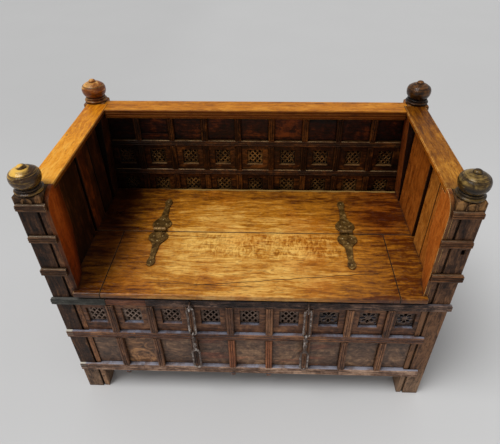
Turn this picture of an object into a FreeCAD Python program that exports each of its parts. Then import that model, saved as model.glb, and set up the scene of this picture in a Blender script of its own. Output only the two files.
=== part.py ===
import FreeCAD
import Part
import math
import os

# Carved settle bench: a box seat with a hinged lid, panelled arms and back.
# Millimetres. While building, x runs to the right, y = 0 is the front face of the
# posts and y grows to the back, z = 0 is the floor. Every shape is moved forward when
# it is saved, so the origin is on the floor, in the middle of the whole bench.

V = FreeCAD.Vector

# overall size
width = 1100.0
depth = 572.0
half = width / 2.0
middle_y = 274.0

# posts
post_width = 68.0
post_depth = 56.0
post_top = 784.0
post_in = half - post_width
gap = 0.2

# front mouldings and the faces behind them
mould_front = -8.0
frame_back = 20.0
top_rail = (415.0, 440.0)
mid_rail = (269.0, 297.0)
base_rail = (101.0, 132.0)
pitch = 113.4
stile_width = 20.4
window_face = 3.0
window_deep = 13.0
lower_panel_face = 6.0

# seat
seat_top = 469.0
seat_thick = 18.0
seat_under = seat_top - seat_thick
lid_half = 408.0
lid_front = -13.0
lid_rear = 257.0
arm_face = 496.0

# arms and back
rail_top = 782.0
rail_thick = 28.0
rail_under = rail_top - rail_thick
arm_under = rail_top - 14.0
arm_rail_in = 471.0
arm_rail_out = 539.5
back_rail_front = 472.0
back_rail_rear = 542.0
back_face = 500.0
back_pitch = 110.7
back_rails = ((418.0, 440.0), (528.0, 550.0), (640.0, 661.0))
rear_board_front = 530.0

# post bands: bottom, top, inner end and outer end
left_bands = ((742.0, 763.0, -474.0, -548.0), (643.0, 666.0, -476.0, -547.0),
              (528.0, 553.0, -481.0, -551.0))
right_bands = ((737.0, 758.0, 476.0, 549.0), (647.0, 670.0, 470.0, 548.0),
               (529.0, 555.0, 474.0, 556.0))

# lid hinge
hinge_x = 294.0
hinge_y = 260.0
knuckle_r = 8.0
hinge_z = seat_top + knuckle_r + 0.3
strap_thick = 4.0
pin_r = 3.0
pin_clear = 0.05

# hasps
hasp_x = 164.0
hasp_y = -20.0
staple_z = 427.5
staple_r = 9.4
staple_wire = 2.6
link_wire = 3.2
link_z = staple_z - staple_r + staple_wire + link_wire + 0.3
link_long = 112.0
link_half = 8.8
eye_wire = 2.6
eye_r = 6.9
ring_half = 10.6


def box(x0, x1, y0, y1, z0, z1):
    return Part.makeBox(x1 - x0, y1 - y0, z1 - z0, V(x0, y0, z0))


def mirror(shape):
    return shape.mirror(V(0, 0, 0), V(1, 0, 0))


def both(shape):
    return [shape, mirror(shape)]


def fuse(shapes):
    body = shapes[0].fuse(shapes[1:])
    return body.removeSplitter()


def face_from(points):
    return Part.Face(Part.makePolygon(points + [points[0]]))


def edges_where(shape, test):
    return [e for e in shape.Edges if test(e)]


def is_along(edge, axis):
    if edge.Curve.TypeId != "Part::GeomLine":
        return False
    d = edge.Vertexes[0].Point - edge.Vertexes[-1].Point
    parts = {"x": abs(d.x), "y": abs(d.y), "z": abs(d.z)}
    return parts[axis] > 0.999 * d.Length


def eased(shape, axis, size):
    # a small chamfer on the straight edges that run along one axis
    return shape.makeChamfer(size, edges_where(shape, lambda e: is_along(e, axis)))


def board(x0, x1, y0, y1, z0, z1, axis, size=0.8):
    return eased(box(x0, x1, y0, y1, z0, z1), axis, size)


def capped(post, size=5.0):
    # slopes the edges of a post's top
    b = post.BoundBox
    crate = box(b.XMin, b.XMax, b.YMin, b.YMax, b.ZMin, b.ZMax)
    top = edges_where(crate, lambda e: e.CenterOfMass.z > b.ZMax - 0.01)
    return post.common(crate.makeChamfer(size, top))


def reeded_face(span, front, back, place, reeds=3, drop=2.4, margin=1.2):
    # closed profile with round reeds on its front side
    a = -span / 2.0
    b = span / 2.0
    low = front + drop
    step = (span - 2.0 * margin) / reeds
    edges = [Part.makeLine(place(b, back), place(a, back))]
    edges.append(Part.makeLine(place(a, back), place(a, low)))
    edges.append(Part.makeLine(place(a, low), place(a + margin, low)))
    for i in range(reeds):
        u = a + margin + i * step
        top = place(u + step / 2.0, front)
        edges.append(Part.Arc(place(u, low), top, place(u + step, low)).toShape())
    edges.append(Part.makeLine(place(b - margin, low), place(b, low)))
    edges.append(Part.makeLine(place(b, low), place(b, back)))
    return Part.Face(Part.Wire(edges))


def reeded_stile(x, span, front, back, z0, z1):
    face = reeded_face(span, front, back, lambda u, v: V(x + u, v, z0))
    return face.extrude(V(0, 0, z1 - z0))


def reeded_rail(x0, x1, front, back, z0, z1):
    mid = (z0 + z1) / 2.0
    face = reeded_face(z1 - z0, front, back, lambda u, v: V(x0, v, mid + u))
    return face.extrude(V(x1 - x0, 0, 0))


def window(x0, x1, y0, y1, z0, z1, opening):
    # a frame with a square cornered opening, its front edge slightly eased
    ox0, ox1, oz0, oz1 = opening
    body = box(x0, x1, y0, y1, z0, z1)
    hole = box(ox0, ox1, y0 - 1.0, y1 + 1.0, oz0, oz1)
    cut = 1.5
    front = face_from([V(ox0 - cut, y0, oz0 - cut), V(ox1 + cut, y0, oz0 - cut),
                       V(ox1 + cut, y0, oz1 + cut), V(ox0 - cut, y0, oz1 + cut)])
    inner = face_from([V(ox0, y0 + cut, oz0), V(ox1, y0 + cut, oz0),
                       V(ox1, y0 + cut, oz1), V(ox0, y0 + cut, oz1)])
    bevel = Part.makeLoft([front.OuterWire, inner.OuterWire], True, True)
    return body.cut(hole).cut(bevel)


def diamond_wire(x, y, z, a, b):
    return Part.makePolygon([V(x - a, y, z), V(x, y, z - b), V(x + a, y, z), V(x, y, z + b),
                             V(x - a, y, z)])


def petal_wire(x, y, z, angle, near, far, fat):
    # a leaf shaped hole that points away from the middle of the flower
    ca = math.cos(angle)
    sa = math.sin(angle)

    def at(r, s):
        return V(x + r * ca - s * sa, y, z + r * sa + s * ca)

    mid = near + 0.62 * (far - near)
    side_a = Part.Arc(at(near, 0), at(mid, fat), at(far, 0)).toShape()
    side_b = Part.Arc(at(far, 0), at(mid, -fat), at(near, 0)).toShape()
    return Part.Wire([side_a, side_b])


def pierced(x0, x1, y0, y1, z0, z1, wires):
    outer = Part.makePolygon([V(x0, y0, z0), V(x1, y0, z0), V(x1, y0, z1), V(x0, y0, z1),
                              V(x0, y0, z0)])
    face = Part.Face([outer] + wires)
    face.validate()
    return face.extrude(V(0, y1 - y0, 0))


def diamond_lattice(x0, x1, y0, y1, z0, z1, opening, columns, rows):
    # staggered rows of small diamond holes between crossing bars
    ox0, ox1, oz0, oz1 = opening
    dx = (ox1 - ox0 - 4.0) / columns
    dz = (oz1 - oz0 - 6.0) / rows
    cx = (ox0 + ox1) / 2.0
    cz = (oz0 + oz1) / 2.0
    wires = []
    for row in range(rows):
        count = columns - row % 2
        for col in range(count):
            x = cx + (col - (count - 1) / 2.0) * dx
            z = cz + (row - (rows - 1) / 2.0) * dz
            wires.append(diamond_wire(x, y0, z, dx * 0.37, dz * 0.72))
    return pierced(x0, x1, y0, y1, z0, z1, wires)


def flower_lattice(x0, x1, y0, y1, z0, z1, opening):
    # an eight petalled flower with corner sprigs
    ox0, ox1, oz0, oz1 = opening
    cx = (ox0 + ox1) / 2.0
    cz = (oz0 + oz1) / 2.0
    reach = min(ox1 - ox0, oz1 - oz0) / 2.0 - 3.0
    wires = []
    for i in range(8):
        wires.append(petal_wire(cx, y0, cz, i * math.pi / 4.0, 0.30 * reach, reach, 4.8))
    for sx in (-1, 1):
        for sz in (-1, 1):
            corner = math.atan2(sz, sx)
            wires.append(petal_wire(cx, y0, cz, corner, reach + 2.2, reach + 12.0, 3.4))
    return pierced(x0, x1, y0, y1, z0, z1, wires)


def centres(step):
    return [(i - 3.5) * step for i in range(8)]


def cells(step, bar, end):
    # clear spaces between the upright bars, with narrower ones at both ends
    lines = centres(step)
    edges = [-end]
    for x in lines:
        edges.append(x - bar / 2.0)
        edges.append(x + bar / 2.0)
    edges.append(end)
    return [(edges[i] + gap, edges[i + 1] - gap) for i in range(0, len(edges), 2)]


def save(name, shapes):
    if not isinstance(shapes, list):
        shapes = [shapes]
    moved = []
    for shape in shapes:
        for solid in shape.Solids:
            piece = solid.copy()
            piece.translate(V(0, -middle_y, 0))
            moved.append(piece)
    body = moved[0] if len(moved) == 1 else Part.makeCompound(moved)
    body.exportStep("parts/" + name + ".step")


os.makedirs("parts", exist_ok=True)

# front posts: a wide outer strip, a groove and a narrow inner strip on the face
groove_out = half - 48.0
groove_in = groove_out - 6.0
front_profile = [V(half - 1.5, 0, 0), V(groove_out + 1.0, 0, 0), V(groove_out, 1.0, 0),
                 V(groove_out, 6.0, 0), V(groove_in, 6.0, 0), V(groove_in, 2.0, 0),
                 V(post_in, 2.0, 0), V(post_in, post_depth, 0), V(half - 1.5, post_depth, 0),
                 V(half, post_depth - 1.5, 0), V(half, 1.5, 0)]
shaft = face_from(front_profile).extrude(V(0, 0, 752.0))
block = capped(board(post_in, half, 0, post_depth, 752.0, post_top, "z", 1.5))
arch_x = (post_in + half) / 2.0
arch_z = 766.7
arch_r = 13.5
hollow_r = 8.0


def arch(z0):
    # a round headed moulding with a sunk middle, standing on the topmost band
    body = box(arch_x - arch_r, arch_x + arch_r, -3.0, 3.0, z0, arch_z)
    body = body.fuse(Part.makeCylinder(arch_r, 6.0, V(arch_x, -3.0, arch_z), V(0, 1, 0)))
    body = body.cut(box(arch_x - 20.0, arch_x + 20.0, -4.0, 4.0, z0 - 30.0, z0))
    hollow = box(arch_x - hollow_r, arch_x + hollow_r, -4.0, -1.0, z0 - 1.0, arch_z)
    hollow = hollow.fuse(Part.makeCylinder(hollow_r, 3.0, V(arch_x, -4.0, arch_z), V(0, 1, 0)))
    return body.cut(hollow)


knot_hole = box(527.5, 537.5, -1.0, 10.0, 622.0, 638.0)
right_post = fuse([shaft, block, arch(right_bands[0][1] + gap)])
left_post = fuse([shaft, block, arch(left_bands[0][1] + gap)])
save("front_post_right", right_post.cut(knot_hole))
save("front_post_left", mirror(left_post))

# rear posts
rear_post = capped(board(post_in, half, depth - post_depth, depth, 0, post_top, "z", 1.5))
save("rear_post_right", rear_post)
save("rear_post_left", mirror(rear_post))

# turned finials: collar rings, neck, flattened ball with an incised line, button
ring_line = [(0.0, 0.0), (31.5, 0.0), (34.6, 2.0), (34.6, 5.5), (31.5, 7.5), (28.6, 8.2),
             (29.2, 9.6), (30.6, 11.2), (30.4, 12.8), (27.6, 14.4), (26.2, 15.6)]
ball_line = [(26.2, 15.6), (28.6, 17.0), (32.6, 21.5), (35.6, 27.5), (36.9, 34.5), (36.8, 40.5),
             (35.0, 46.5), (32.2, 50.4)]
cap_line = [(30.4, 50.3), (29.8, 51.6), (26.0, 55.0), (19.0, 58.6), (10.2, 60.8)]
tip_line = [(10.2, 60.8), (10.8, 62.6), (9.6, 65.6), (5.6, 68.2), (0.0, 69.0)]


def lathe_point(pair, cx, cy):
    return V(cx + pair[0], cy, post_top + pair[1])


def curve_through(pairs, cx, cy):
    curve = Part.BSplineCurve()
    curve.interpolate([lathe_point(p, cx, cy) for p in pairs])
    return curve.toShape()


def finial(cx, cy):
    edges = []
    for i in range(4):
        edges.append(Part.makeLine(lathe_point(ring_line[i], cx, cy),
                                   lathe_point(ring_line[i + 1], cx, cy)))
    edges.append(Part.makeLine(lathe_point(ring_line[4], cx, cy),
                               lathe_point(ring_line[5], cx, cy)))
    edges.append(curve_through(ring_line[5:], cx, cy))
    edges.append(curve_through(ball_line, cx, cy))
    edges.append(Part.makeLine(lathe_point(ball_line[-1], cx, cy),
                               lathe_point(cap_line[0], cx, cy)))
    edges.append(curve_through(cap_line, cx, cy))
    edges.append(curve_through(tip_line, cx, cy))
    edges.append(Part.makeLine(lathe_point(tip_line[-1], cx, cy),
                               lathe_point(ring_line[0], cx, cy)))
    face = Part.Face(Part.Wire(edges))
    return face.revolve(V(cx, cy, 0), V(0, 0, 1), 360)


post_mid = half - post_width / 2.0
front_line = post_depth / 2.0
rear_line = depth - post_depth / 2.0
save("finial_front_right", finial(post_mid, front_line))
save("finial_front_left", finial(-post_mid, front_line))
save("finial_rear_right", finial(post_mid, rear_line))
save("finial_rear_left", finial(-post_mid, rear_line))


# bands nailed across the front posts, with a rounded outer end that stands proud
def band(x_in, x_out, z0, z1):
    body = reeded_rail(x_in, x_out, mould_front, 0.0, z0, z1)
    round_r = 7.0
    corners = box(x_out - round_r, x_out + 1.0, mould_front - 1.0, 1.0, z0 - 1.0, z1 + 1.0)
    mid = box(x_out - round_r - 1.0, x_out + 2.0, mould_front - 2.0, 2.0, z0 + round_r,
              z1 - round_r)
    low = Part.makeCylinder(round_r, 12.0, V(x_out - round_r, mould_front - 2.0, z0 + round_r),
                            V(0, 1, 0))
    high = Part.makeCylinder(round_r, 12.0, V(x_out - round_r, mould_front - 2.0, z1 - round_r),
                             V(0, 1, 0))
    corners = corners.cut(mid).cut(low).cut(high)
    return body.cut(corners)


save("post_bands_right", [band(x0, x1, z0, z1) for z0, z1, x0, x1 in right_bands])
save("post_bands_left", [mirror(band(-x0, -x1, z0, z1)) for z0, z1, x0, x1 in left_bands])

# front frame: seat bearer behind the top rail, then the moulded rails
front_bearer = box(-post_in + gap, post_in - gap, 0.0, frame_back, top_rail[0], seat_under - gap)
holes = []
for sx in (-1, 1):
    for dz in (-staple_r, staple_r):
        holes.append(Part.makeCylinder(staple_wire + 0.1, 30.0,
                                       V(sx * hasp_x, -12.0, staple_z + dz), V(0, 1, 0)))
for hole in holes:
    front_bearer = front_bearer.cut(hole)
save("front_seat_bearer", front_bearer)
long_rail = band(-288.6, 556.0, top_rail[0], top_rail[1])
for hole in holes:
    long_rail = long_rail.cut(hole)
save("front_top_rail_long", long_rail)
patch = reeded_rail(-402.0, -289.0, mould_front + 1.0, 0.0, top_rail[0], top_rail[1] - 2.0)
save("front_top_rail_patch", patch)
save("front_top_rail_left", mirror(band(402.4, 556.0, top_rail[0], top_rail[1])))

mid_body = box(-post_in + gap, post_in - gap, 0.0, frame_back, mid_rail[0], mid_rail[1])
mid_strip = reeded_rail(-549.0, 510.0, mould_front, 0.0, mid_rail[0], mid_rail[1])
save("front_mid_rail", [mid_strip, mid_body])
base_body = box(-post_in + gap, post_in - gap, 0.0, frame_back, base_rail[0], base_rail[1])
base_strip = reeded_rail(-548.0, 526.0, mould_front, 0.0, base_rail[0], base_rail[1])
save("front_base_rail", [base_strip, base_body])

# moulded uprights between the rails
upper = []
lower = []
lower_pale = []
for number, x in enumerate(centres(pitch)):
    upper.append(reeded_stile(x, stile_width, mould_front, frame_back, mid_rail[1] + gap,
                              top_rail[0] - gap))
    piece = reeded_stile(x, stile_width, mould_front, frame_back, base_rail[1] + gap,
                         mid_rail[0] - gap)
    if number in (3, 4):
        lower_pale.append(piece)
    else:
        lower.append(piece)
save("front_upper_stiles", upper)
save("front_lower_stiles", lower)
save("front_lower_stiles_pale", lower_pale)
ends = []
for number in (0, 3, 4):
    x = centres(pitch)[number]
    ends.append(board(x - 7.0, x + 7.0, mould_front, 4.0, base_rail[0] - 8.0, base_rail[0], "z"))
save("front_tenon_ends", ends)

# front upper row: window frames with pierced panels behind them
frames = []
diamonds = []
flowers = []
lowers = []
for number, (x0, x1) in enumerate(cells(pitch, stile_width, post_in)):
    wide = 56.0 if 0 < number < 8 else 52.0
    mid = (x0 + x1) / 2.0
    opening = (mid - wide / 2.0, mid + wide / 2.0, 330.0, 392.0)
    z0 = mid_rail[1] + gap
    z1 = top_rail[0] - gap
    frames.append(window(x0, x1, window_face, window_deep, z0, z1, opening))
    y0 = window_deep + gap
    if number < 6:
        diamonds.append(diamond_lattice(x0, x1, y0, y0 + 6.5, z0, z1, opening, 3, 5))
    else:
        flowers.append(flower_lattice(x0, x1, y0, y0 + 6.5, z0, z1, opening))
    lowers.append(box(x0, x1, lower_panel_face, lower_panel_face + 9.0, base_rail[1] + gap,
                      mid_rail[0] - gap))
save("front_window_frames", frames)
save("front_lattice_diamond", diamonds)
save("front_lattice_flower", flowers)
save("front_lower_panels", lowers)

# arm rails, flat boards with an eased edge
arm_rail = board(arm_rail_in, arm_rail_out, post_depth + gap, depth - post_depth - gap, arm_under,
                 rail_top, "y", 2.5)
save("arm_rail_right", arm_rail)
save("arm_rail_left", mirror(arm_rail))

# arm front stiles: a rounded shoulder in front, stepped back to the boards behind
shoulder = 52.0
stile_y0 = 0.5
stile_y1 = 80.0
stile_base = seat_top + gap
bend_z = 640.0
curve_mid = V(arm_rail_in, shoulder - (shoulder - stile_y0) * math.cos(math.pi / 4.0),
              730.0 + shoulder * math.sin(math.pi / 4.0))
line = [V(arm_rail_in, shoulder, rail_top), V(arm_rail_in, post_depth, rail_top),
        V(arm_rail_in, post_depth, arm_under - gap), V(arm_rail_in, stile_y1, arm_under - gap),
        V(arm_rail_in, stile_y1, bend_z), V(arm_rail_in, stile_y0, bend_z),
        V(arm_rail_in, stile_y0, 730.0)]
stile_edges = []
for i in range(len(line) - 1):
    stile_edges.append(Part.makeLine(line[i], line[i + 1]))
stile_edges.append(Part.Arc(line[-1], curve_mid, line[0]).toShape())
arm_stile = Part.Face(Part.Wire(stile_edges)).extrude(V(post_in - gap - arm_rail_in, 0, 0))
arm_stile = arm_stile.fuse(box(arm_rail_in + 5.0, arm_face, post_depth + gap, stile_y1,
                               bend_z, arm_under - gap))


def stile_section(z, x_rear, y_rear):
    return Part.makePolygon([V(arm_rail_in, stile_y0, z), V(post_in - gap, stile_y0, z),
                             V(post_in - gap, post_depth + gap, z),
                             V(arm_face, post_depth + gap, z), V(arm_face, y_rear, z),
                             V(x_rear, y_rear, z), V(arm_rail_in, stile_y0, z)])


# below the bend its inner face twists outwards towards the seat
twist = Part.makeLoft([stile_section(stile_base, 483.0, 71.0),
                       stile_section(bend_z, arm_rail_in, stile_y1)], True, True)
arm_stile = fuse([arm_stile, twist])
save("arm_front_stile_right", arm_stile)
save("arm_front_stile_left", mirror(arm_stile))


# arm boards between the front and rear stiles, with open joints
def arm_board(y0, y1):
    return board(arm_face, arm_face + 11.5, y0, y1, stile_base, arm_under - gap, "z", 1.0)


first = stile_y1 + 0.4
right_boards = [arm_board(first, 152.5), arm_board(157.0, 226.0), arm_board(252.0, 432.0)]
save("arm_inner_boards_right", right_boards)
left_boards = [arm_board(first, 243.0), arm_board(257.0, 345.0), arm_board(352.0, 432.0)]
save("arm_inner_boards_left", [mirror(b) for b in left_boards])

# arm rear stiles lean in towards the top
rear_stile = face_from([V(494.0, 441.0, stile_base), V(507.5, 441.0, stile_base),
                        V(507.5, 441.0, arm_under - gap), V(474.0, 441.0, arm_under - gap)])
rear_stile = rear_stile.extrude(V(0, 58.6, 0))
save("arm_rear_stile_right", rear_stile)
save("arm_rear_stile_left", mirror(rear_stile))

# outer side boards, and the battens across them
side_boards = []
side_y0 = post_depth + gap
side_y1 = depth - post_depth - gap
board_wide = (side_y1 - side_y0 - 3.0) / 4.0
for i in range(4):
    y = side_y0 + i * (board_wide + 1.0)
    side_boards.append(board(520.0, 531.0, y, y + board_wide, 104.0, arm_under - gap, "z", 1.0))
save("side_boards_right", side_boards)
save("side_boards_left", [mirror(b) for b in side_boards])
battens = []
for z0, z1 in ((104.0, 134.0), top_rail, (742.0, arm_under - gap)):
    battens += both(board(531.2, 544.0, side_y0, side_y1, z0, z1, "y", 2.0))
save("side_battens", battens)

# back top rail with a moulded front edge
rail_main = reeded_rail(-arm_rail_in + gap, arm_rail_in - gap, back_rail_front, back_rail_rear,
                        rail_under, rail_top)
rail_lap = box(-post_in + gap, post_in - gap, depth - post_depth + gap, back_rail_rear,
               rail_under, rail_top)
save("back_top_rail", fuse([rail_main, rail_lap]))

# back grid
grid_end = 507.5
grid_back = 528.0
post_face = depth - post_depth
grid_rails = []
for z0, z1 in back_rails:
    rail = reeded_rail(-grid_end, grid_end, back_face, grid_back, z0, z1)
    notch = box(post_in - gap, grid_end + 1.0, post_face - gap, grid_back + 1.0, z0 - 1.0, z1 + 1.0)
    grid_rails.append(rail.cut(notch).cut(mirror(notch)))
save("back_rails", grid_rails)
rows = ((back_rails[0][1], back_rails[1][0]), (back_rails[1][1], back_rails[2][0]),
        (back_rails[2][1], rail_under))
grid_stiles = []
for z0, z1 in rows:
    for x in centres(back_pitch):
        grid_stiles.append(reeded_stile(x, 20.0, back_face, grid_back, z0 + gap, z1 - gap))
save("back_stiles", grid_stiles)
back_frames = []
back_lattices = []
plain_panels = []
for number, (x0, x1) in enumerate(cells(back_pitch, 20.0, grid_end)):
    mid = (x0 + x1) / 2.0
    if number == 0:
        mid = -439.0
    if number == 8:
        mid = 439.0
    in0 = max(x0, gap - post_in)
    in1 = min(x1, post_in - gap)
    for z0, z1 in rows[:2]:
        opening = (mid - 26.0, mid + 26.0, z0 + 20.0, z1 - 16.0)
        back_frames.append(window(x0, x1, 507.0, post_face - gap, z0 + gap, z1 - gap, opening))
        back_lattices.append(diamond_lattice(in0, in1, post_face, post_face + 6.0, z0 + gap,
                                             z1 - gap, opening, 3, 5))
    plain_panels.append(box(in0, in1, 514.0, 522.0, rows[2][0] + gap, rows[2][1] - gap))
plain_panels.append(box(-377.0, -287.0, 509.0, 514.0, rows[2][0] + gap, 683.0))
save("back_window_frames", back_frames)
save("back_lattice_panels", back_lattices)
save("back_plain_panels", plain_panels)

# rear boards close the back from the floor frame to the top rail
rear_boards = []
rear_step = (rail_under - gap - 104.0 + 1.0) / 4.0
for i in range(4):
    z = 104.0 + i * rear_step
    rear_boards.append(board(-post_in + gap, post_in - gap, rear_board_front,
                             rear_board_front + 11.5, z, z + rear_step - 1.0, "x", 1.0))
save("rear_boards", rear_boards)

# hidden bearers under the seat and under the chest floor
bearer_top = seat_under - gap
side_bearer = box(490.0, 519.8, side_y0, 473.8, 425.0, bearer_top)
rear_bearer = box(-489.8, 489.8, 474.0, back_face - 0.4, 425.0, bearer_top)
cross_bearer = box(-489.8, 489.8, 246.0, 274.0, 425.0, bearer_top)
save("seat_bearers", both(side_bearer) + [rear_bearer, cross_bearer])
floor_under = 134.0
base_side = box(500.0, 519.8, side_y0, side_y1, 108.0, floor_under - gap)
base_front = box(-post_in + gap, post_in - gap, frame_back + gap, 40.0, 108.0, floor_under - gap)
base_rear = box(-post_in + gap, post_in - gap, 510.0, rear_board_front - gap, 108.0,
                floor_under - gap)
save("base_bearers", both(base_side) + [base_front, base_rear])
floor_top = floor_under + 12.0
floor_boards = [box(-post_in + gap, post_in - gap, frame_back + gap, post_depth, floor_under,
                    floor_top)]
floor_boards.append(box(-519.6, 519.6, side_y0, 285.5, floor_under, floor_top))
floor_boards.append(box(-519.6, 519.6, 286.0, side_y1, floor_under, floor_top))
floor_boards.append(box(-post_in + gap, post_in - gap, depth - post_depth,
                        rear_board_front - gap, floor_under, floor_top))
save("chest_floor_boards", floor_boards)

# seat boards around the lid
rear_seat = board(-grid_end, grid_end, 259.0, back_face - 1.5, seat_under, seat_top, "x", 1.2)
save("seat_rear_board", rear_seat)
nose = [V(lid_half + 1.5, lid_front, seat_under), V(post_in - gap, lid_front, seat_under),
        V(post_in - gap, side_y0, seat_under), V(grid_end, side_y0, seat_under),
        V(grid_end, 258.0, seat_under), V(lid_half + 1.5, 258.0, seat_under)]
side_seat = face_from(nose).extrude(V(0, 0, seat_thick))
nose_edges = edges_where(side_seat, lambda e: is_along(e, "x")
                         and abs(e.CenterOfMass.y - lid_front) < 0.01)
side_seat = side_seat.makeFillet(4.5, nose_edges)
save("seat_side_board_right", side_seat)
save("seat_side_board_left", mirror(side_seat))

# lid, a single plank with a rounded front edge
lid = box(-lid_half, lid_half, lid_front, lid_rear, seat_under, seat_top)
lid = lid.makeFillet(4.5, edges_where(lid, lambda e: is_along(e, "x")
                                      and abs(e.CenterOfMass.y - lid_front) < 0.01))
lid = lid.makeChamfer(0.8, edges_where(lid, lambda e: is_along(e, "x")
                                       and abs(e.CenterOfMass.y - lid_rear) < 0.01))
save("seat_lid", lid)

# strap hinges: leaf shaped plates that taper to a tail with a round end
half_leaf = [(16.0, 9.2), (25.0, 16.0), (30.0, 30.0), (26.5, 44.0), (17.0, 57.0), (11.0, 69.0),
             (9.6, 84.0), (8.4, 102.0), (7.2, 120.0), (8.6, 130.0), (11.4, 140.0),
             (10.8, 151.0), (6.5, 159.5), (0.0, 162.5)]


def leaf(sign, stretch):
    # sign -1 points to the front (lid), +1 to the back (fixed board)
    right = [V(hinge_x + x, hinge_y + sign * d * stretch, seat_top) for x, d in half_leaf]
    left = [V(hinge_x - x, hinge_y + sign * d * stretch, seat_top) for x, d in half_leaf]
    side_a = Part.BSplineCurve()
    side_a.interpolate(right)
    side_b = Part.BSplineCurve()
    side_b.interpolate(left)
    root = Part.makeLine(left[0], right[0])
    outline = Part.Wire([root, side_a.toShape(), side_b.toShape()])
    return Part.Face(outline).extrude(V(0, 0, strap_thick))


def knuckle(x0, x1):
    return Part.makeCylinder(knuckle_r, x1 - x0, V(x0, hinge_y, hinge_z), V(1, 0, 0))


def tongue(x0, x1, sign):
    y = hinge_y + sign * 12.0
    return box(x0, x1, min(y, hinge_y), max(y, hinge_y), seat_top, seat_top + strap_thick)


bore = Part.makeCylinder(pin_r + pin_clear, 60.0, V(hinge_x - 30.0, hinge_y, hinge_z), V(1, 0, 0))
x_in = hinge_x - 5.85
x_out = hinge_x + 5.85
front_leaf = fuse([leaf(-1.0, 1.0), tongue(x_in, x_out, -1.0), knuckle(x_in, x_out)]).cut(bore)
save("hinge_front_leaves", both(front_leaf))
rear_parts = [leaf(1.0, 1.035)]
for x0, x1 in ((hinge_x - 18.5, hinge_x - 6.15), (hinge_x + 6.15, hinge_x + 18.5)):
    rear_parts.append(tongue(x0, x1, 1.0))
    rear_parts.append(knuckle(x0, x1))
save("hinge_rear_leaves", both(fuse(rear_parts).cut(bore)))
pin = Part.makeCylinder(pin_r, 41.0, V(hinge_x - 20.5, hinge_y, hinge_z), V(1, 0, 0))
save("hinge_pins", both(pin))


def nail(x, y, z, r=3.4, high=1.8):
    big = (r * r + high * high) / (2.0 * high)
    ball = Part.makeSphere(big, V(x, y, z + high - big))
    return ball.common(box(x - r - 1, x + r + 1, y - r - 1, y + r + 1, z, z + high + 1.0))


plate_top = seat_top + strap_thick
lid_nails = []
for dx, dy in ((-14.0, 29.0), (14.0, 29.0), (0.0, 51.0), (0.0, 146.0)):
    lid_nails += both(nail(hinge_x + dx, hinge_y - dy, plate_top))
lid_nails.append(nail(-243.0, 2.0, seat_top, 2.6, 0.9))
save("nails_lid", lid_nails)
fixed_nails = []
for dx, dy in ((-14.0, 31.0), (14.0, 31.0), (0.0, 53.0), (0.0, 151.0)):
    fixed_nails += both(nail(hinge_x + dx, hinge_y + dy, plate_top))
fixed_nails.append(nail(-528.0, 305.0, rail_top, 3.0, 1.2))
save("nails_fixed", fixed_nails)


# hasps: a staple in the top rail, a long link and a twisted link with a ring
def staple(x):
    legs = []
    for dz in (-staple_r, staple_r):
        legs.append(Part.makeCylinder(staple_wire, 6.0 - hasp_y, V(x, hasp_y, staple_z + dz),
                                      V(0, 1, 0)))
    disc = Part.Face(Part.Wire(Part.makeCircle(staple_wire, V(x, hasp_y, staple_z + staple_r),
                                               V(0, 1, 0))))
    bend = disc.revolve(V(x, hasp_y, staple_z), V(1, 0, 0), 180)
    return fuse([legs[0], bend, legs[1]])


save("hasp_staples", [staple(-hasp_x), staple(hasp_x)])


def long_ring(x, z_top, z_low, r, wire):
    # an upright stadium shaped ring of round wire in the plane of the front
    rods = []
    for sx in (-1, 1):
        rods.append(Part.makeCylinder(wire, z_top - z_low - 2.0 * r,
                                      V(x + sx * r, hasp_y, z_low + r), V(0, 0, 1)))
    bends = []
    for z, turn in ((z_top - r, 1), (z_low + r, -1)):
        disc = Part.Face(Part.Wire(Part.makeCircle(wire, V(x + r, hasp_y, z), V(0, 0, 1))))
        bends.append(disc.revolve(V(x, hasp_y, z), V(0, -turn, 0), 180))
    return fuse([rods[0], bends[0], rods[1], bends[1]])


low_z = link_z - link_long
save("hasp_upper_link_left", long_ring(-hasp_x, link_z, low_z, link_half, link_wire))
save("hasp_upper_link_right", long_ring(hasp_x, link_z, low_z, link_half, link_wire))


def twisted_bar(x, z_top, z_low, a, b, turns):
    steps = 24
    wires = []
    for i in range(steps + 1):
        z = z_top + (z_low - z_top) * i / steps
        angle = turns * 2.0 * math.pi * i / steps
        ca = math.cos(angle)
        sa = math.sin(angle)
        pts = []
        for u, v in ((-b, -a), (b, -a), (b, a), (-b, a)):
            pts.append(V(x + u * ca - v * sa, hasp_y + u * sa + v * ca, z))
        wires.append(Part.makePolygon(pts + [pts[0]]))
    return Part.makeLoft(wires, True, False)


eye_z = low_z - (eye_r - eye_wire - link_wire - 0.3)
ring_top = 237.0
ring_low = 151.0


def lower_link(x):
    eye = Part.makeTorus(eye_r, eye_wire, V(x, hasp_y, eye_z), V(1, 0, 0))
    bar = twisted_bar(x, eye_z - eye_r, ring_top + 1.0, 5.6, 2.9, 1.25)
    ring = long_ring(x, ring_top, ring_low, ring_half, link_wire)
    return fuse([eye, bar, ring])


save("hasp_lower_link_left", lower_link(-hasp_x))
save("hasp_lower_link_right", lower_link(hasp_x))
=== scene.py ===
import math

import bpy
from mathutils import Matrix, Vector

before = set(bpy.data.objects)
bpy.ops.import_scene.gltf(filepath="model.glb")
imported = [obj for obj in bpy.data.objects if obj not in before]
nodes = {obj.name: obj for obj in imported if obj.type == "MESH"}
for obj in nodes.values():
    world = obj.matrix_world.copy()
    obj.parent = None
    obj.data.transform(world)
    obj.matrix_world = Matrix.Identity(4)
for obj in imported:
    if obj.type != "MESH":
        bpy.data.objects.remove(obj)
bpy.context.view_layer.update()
X, Y, Z = 0, 1, 2


def reach(name, axis):
    # lowest and highest place of a node along one axis, in metres
    places = [v.co[axis] for v in nodes[name].data.vertices]
    return min(places), max(places)


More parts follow.
